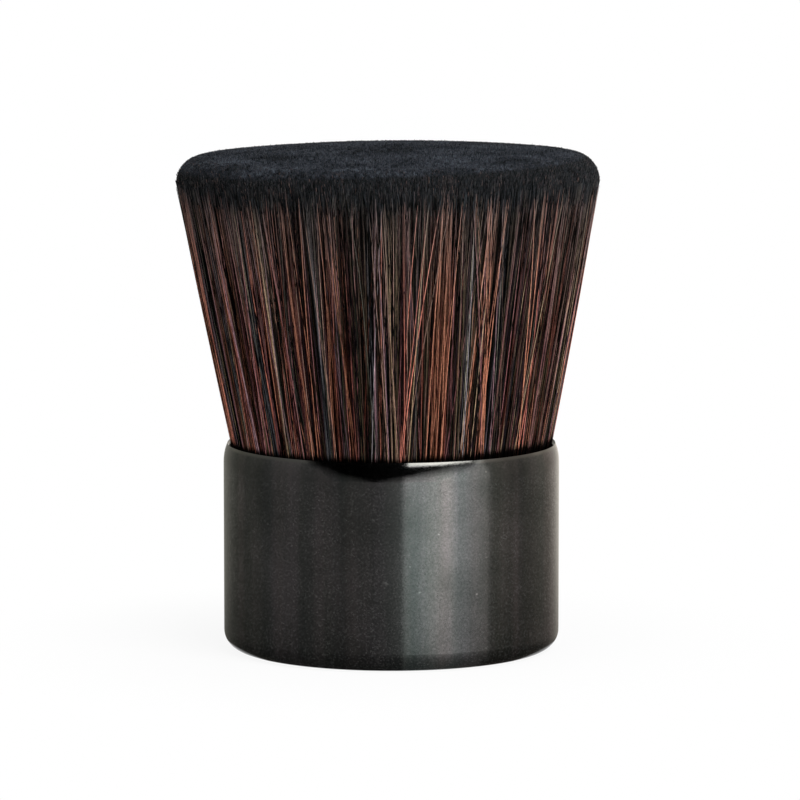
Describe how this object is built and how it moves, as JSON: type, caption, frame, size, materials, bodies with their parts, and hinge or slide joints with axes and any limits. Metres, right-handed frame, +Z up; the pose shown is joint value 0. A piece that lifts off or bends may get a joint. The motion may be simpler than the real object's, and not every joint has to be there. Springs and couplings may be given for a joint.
{
  "type": "kabuki makeup brush",
  "caption": "Short free-standing powder brush: weighted drawn metal ferrule with a lip that curves in, and a dense, flared tuft with a flat, slightly crowned top.",
  "frame": {"origin": "centre of the face the brush stands on", "axes": "+Z up the brush's axis, from the base to the top of the tuft; +X and +Y lie in the standing plane, and the picture looks along +Y"},
  "size_m": [0.05, 0.05, 0.06],
  "materials": {
    "ferrule_black": "black, satin, with a fine grain",
    "foam_pad": "soft, matt, closed-cell foam",
    "weight_steel": "turned, unpolished",
    "cup_plastic": "moulded, matt",
    "glue": "set glue, glossy",
    "resin": "cast resin, amber",
    "band_metal": "thin rolled strip",
    "fibre_copper": "fine synthetic fibres, copper brown with dark tips",
    "fibre_black": "fine synthetic fibres, blue-black, soft sheen"
  },
  "bodies": {
    "root": {"ferrule": "ferrule_black", "adhesive_pad": "foam_pad", "base_weight": "weight_steel", "inner_cup": "cup_plastic", "glue_bead": "glue", "root_plug": "resin", "binding_band": "band_metal", "bristles_copper": "fibre_copper", "bristles_black": "fibre_black"}
  },
  "joints": []
}
